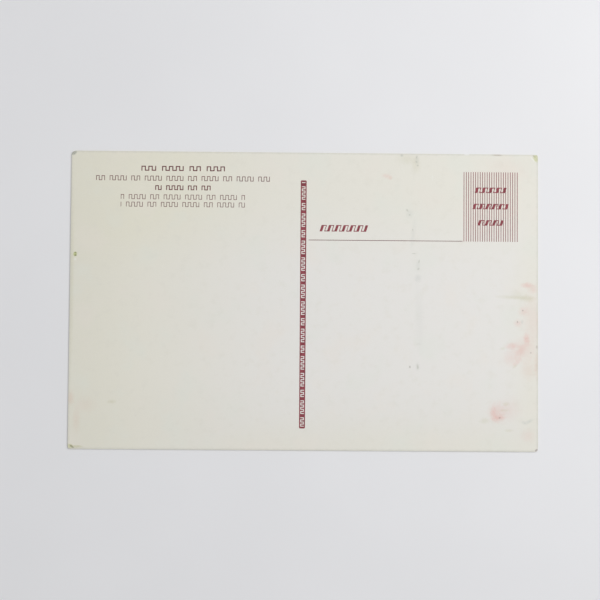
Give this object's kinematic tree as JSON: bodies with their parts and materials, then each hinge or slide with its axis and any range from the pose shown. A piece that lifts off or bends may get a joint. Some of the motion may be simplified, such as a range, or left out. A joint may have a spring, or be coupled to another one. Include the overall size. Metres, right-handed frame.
{
  "type": "postcard",
  "caption": "Picture postcard of laminated coated board: glossy picture face, plain address side with divider bar, address rule, ruled stamp box and caption rows in maroon ink.",
  "frame": {"origin": "middle of the picture face, which lies on the table", "axes": "+X along the long edge in reading direction, +Y to the card's top edge, +Z out of the address side"},
  "size_m": [0.1396, 0.0888, 0.0003],
  "materials": {
    "varnish": "gloss",
    "picture": "gloss",
    "clay": "satin",
    "outer_paper": "matte",
    "core_paper": "matte",
    "maroon_ink": "matte"
  },
  "bodies": {
    "root": {"gloss_varnish": "varnish", "picture_ink": "picture", "clay_coat": "clay", "picture_ply": "outer_paper", "core_ply": "core_paper", "address_ply": "outer_paper", "divider_bar": "maroon_ink", "address_rule": "maroon_ink", "address_heading": "maroon_ink", "stamp_box_ruling": "maroon_ink", "stamp_box_row_top": "maroon_ink", "stamp_box_row_middle": "maroon_ink", "stamp_box_row_bottom": "maroon_ink", "caption_title": "maroon_ink", "caption_place": "maroon_ink", "caption_town": "maroon_ink", "caption_note_first": "maroon_ink", "caption_note_second": "maroon_ink"}
  },
  "joints": []
}
